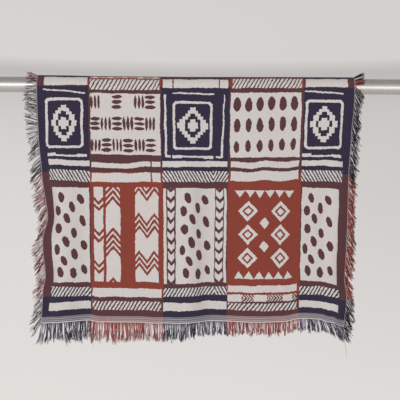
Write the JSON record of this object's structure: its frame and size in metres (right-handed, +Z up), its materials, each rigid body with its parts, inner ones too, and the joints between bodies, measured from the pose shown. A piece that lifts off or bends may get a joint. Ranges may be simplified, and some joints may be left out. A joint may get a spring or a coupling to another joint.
{
  "type": "fringed blanket on a rod",
  "caption": "Fringed jacquard throw blanket in navy, rust and cream, hung over a round metal rod with a long front drop and a short back drop.",
  "frame": {"origin": "centre of the rod's left end face", "axes": "+X along the rod to its right end, -Y towards the room that the long front drop faces, +Z up"},
  "size_m": [1.8, 0.1289, 1.1227],
  "materials": {
    "rod_metal": "satin",
    "cloth": "jacquard-woven cotton in navy, rust and cream",
    "fringe_yarn": "loose cotton yarns in navy, rust and cream"
  },
  "bodies": {
    "root": {"rod": "rod_metal", "blanket": "cloth", "fringe_front_hem": "fringe_yarn", "fringe_back_hem": "fringe_yarn", "fringe_left_front": "fringe_yarn", "fringe_left_bend": "fringe_yarn", "fringe_left_back": "fringe_yarn", "fringe_right_front": "fringe_yarn", "fringe_right_bend": "fringe_yarn", "fringe_right_back": "fringe_yarn"}
  },
  "joints": []
}
